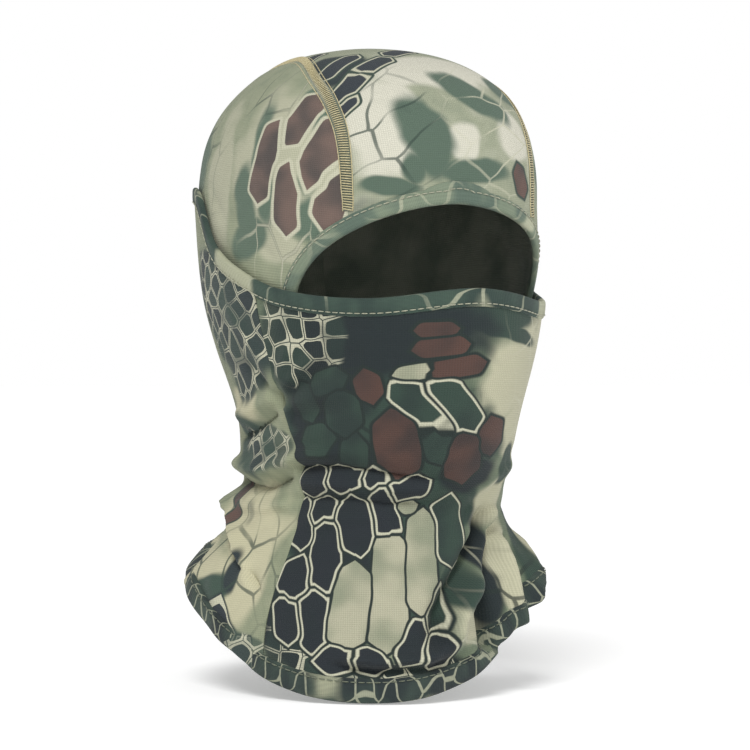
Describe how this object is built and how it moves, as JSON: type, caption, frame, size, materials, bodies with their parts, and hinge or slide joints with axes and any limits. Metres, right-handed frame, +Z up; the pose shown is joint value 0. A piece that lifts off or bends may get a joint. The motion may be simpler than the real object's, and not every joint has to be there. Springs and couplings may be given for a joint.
{
  "type": "camouflage face mask",
  "caption": "Pull-on camouflage face mask in thin stretch knit: a seamed hood with a face opening, and an outer mask tube whose bound upper hem pulls down from the nose to the chin.",
  "frame": {"origin": "inside of the top of the crown, where the hood rests on the head", "axes": "+Z up, -Y the wearer's front, -X the wearer's right, as worn by an upright wearer"},
  "size_m": [0.1763, 0.2173, 0.3237],
  "materials": {
    "camo_knit": "matte knit, printed with scale-like camouflage cells",
    "camo_binding": "matte knit, folded and sewn",
    "seam_thread": "soft looping thread, tan",
    "sewing_thread": "fine thread, pale tan",
    "overlock_thread": "soft looping thread, dull green"
  },
  "bodies": {
    "hood": {"crown_centre_panel": "camo_knit", "crown_side_panel_right": "camo_knit", "crown_side_panel_left": "camo_knit", "face_binding": "camo_binding", "face_binding_stitching": "sewing_thread", "crown_seam_right": "seam_thread", "crown_seam_left": "seam_thread", "join_seam": "overlock_thread", "throat_panel": "camo_knit", "nape_panel": "camo_knit", "side_seam_right": "overlock_thread", "side_seam_left": "overlock_thread", "neck_hem": "camo_binding", "neck_hem_stitching": "sewing_thread", "face_panel": "camo_knit", "occiput_panel": "camo_knit"},
    "mask": {"mask_binding": "camo_binding", "mask_binding_stitching": "sewing_thread"}
  },
  "joints": [
    {"name": "mask_drop", "type": "slide", "parent": "hood", "child": "mask", "axis": [0, 0, -1], "range_m": [0, 0.05], "deforming": ["face_panel", "occiput_panel"]}
  ]
}
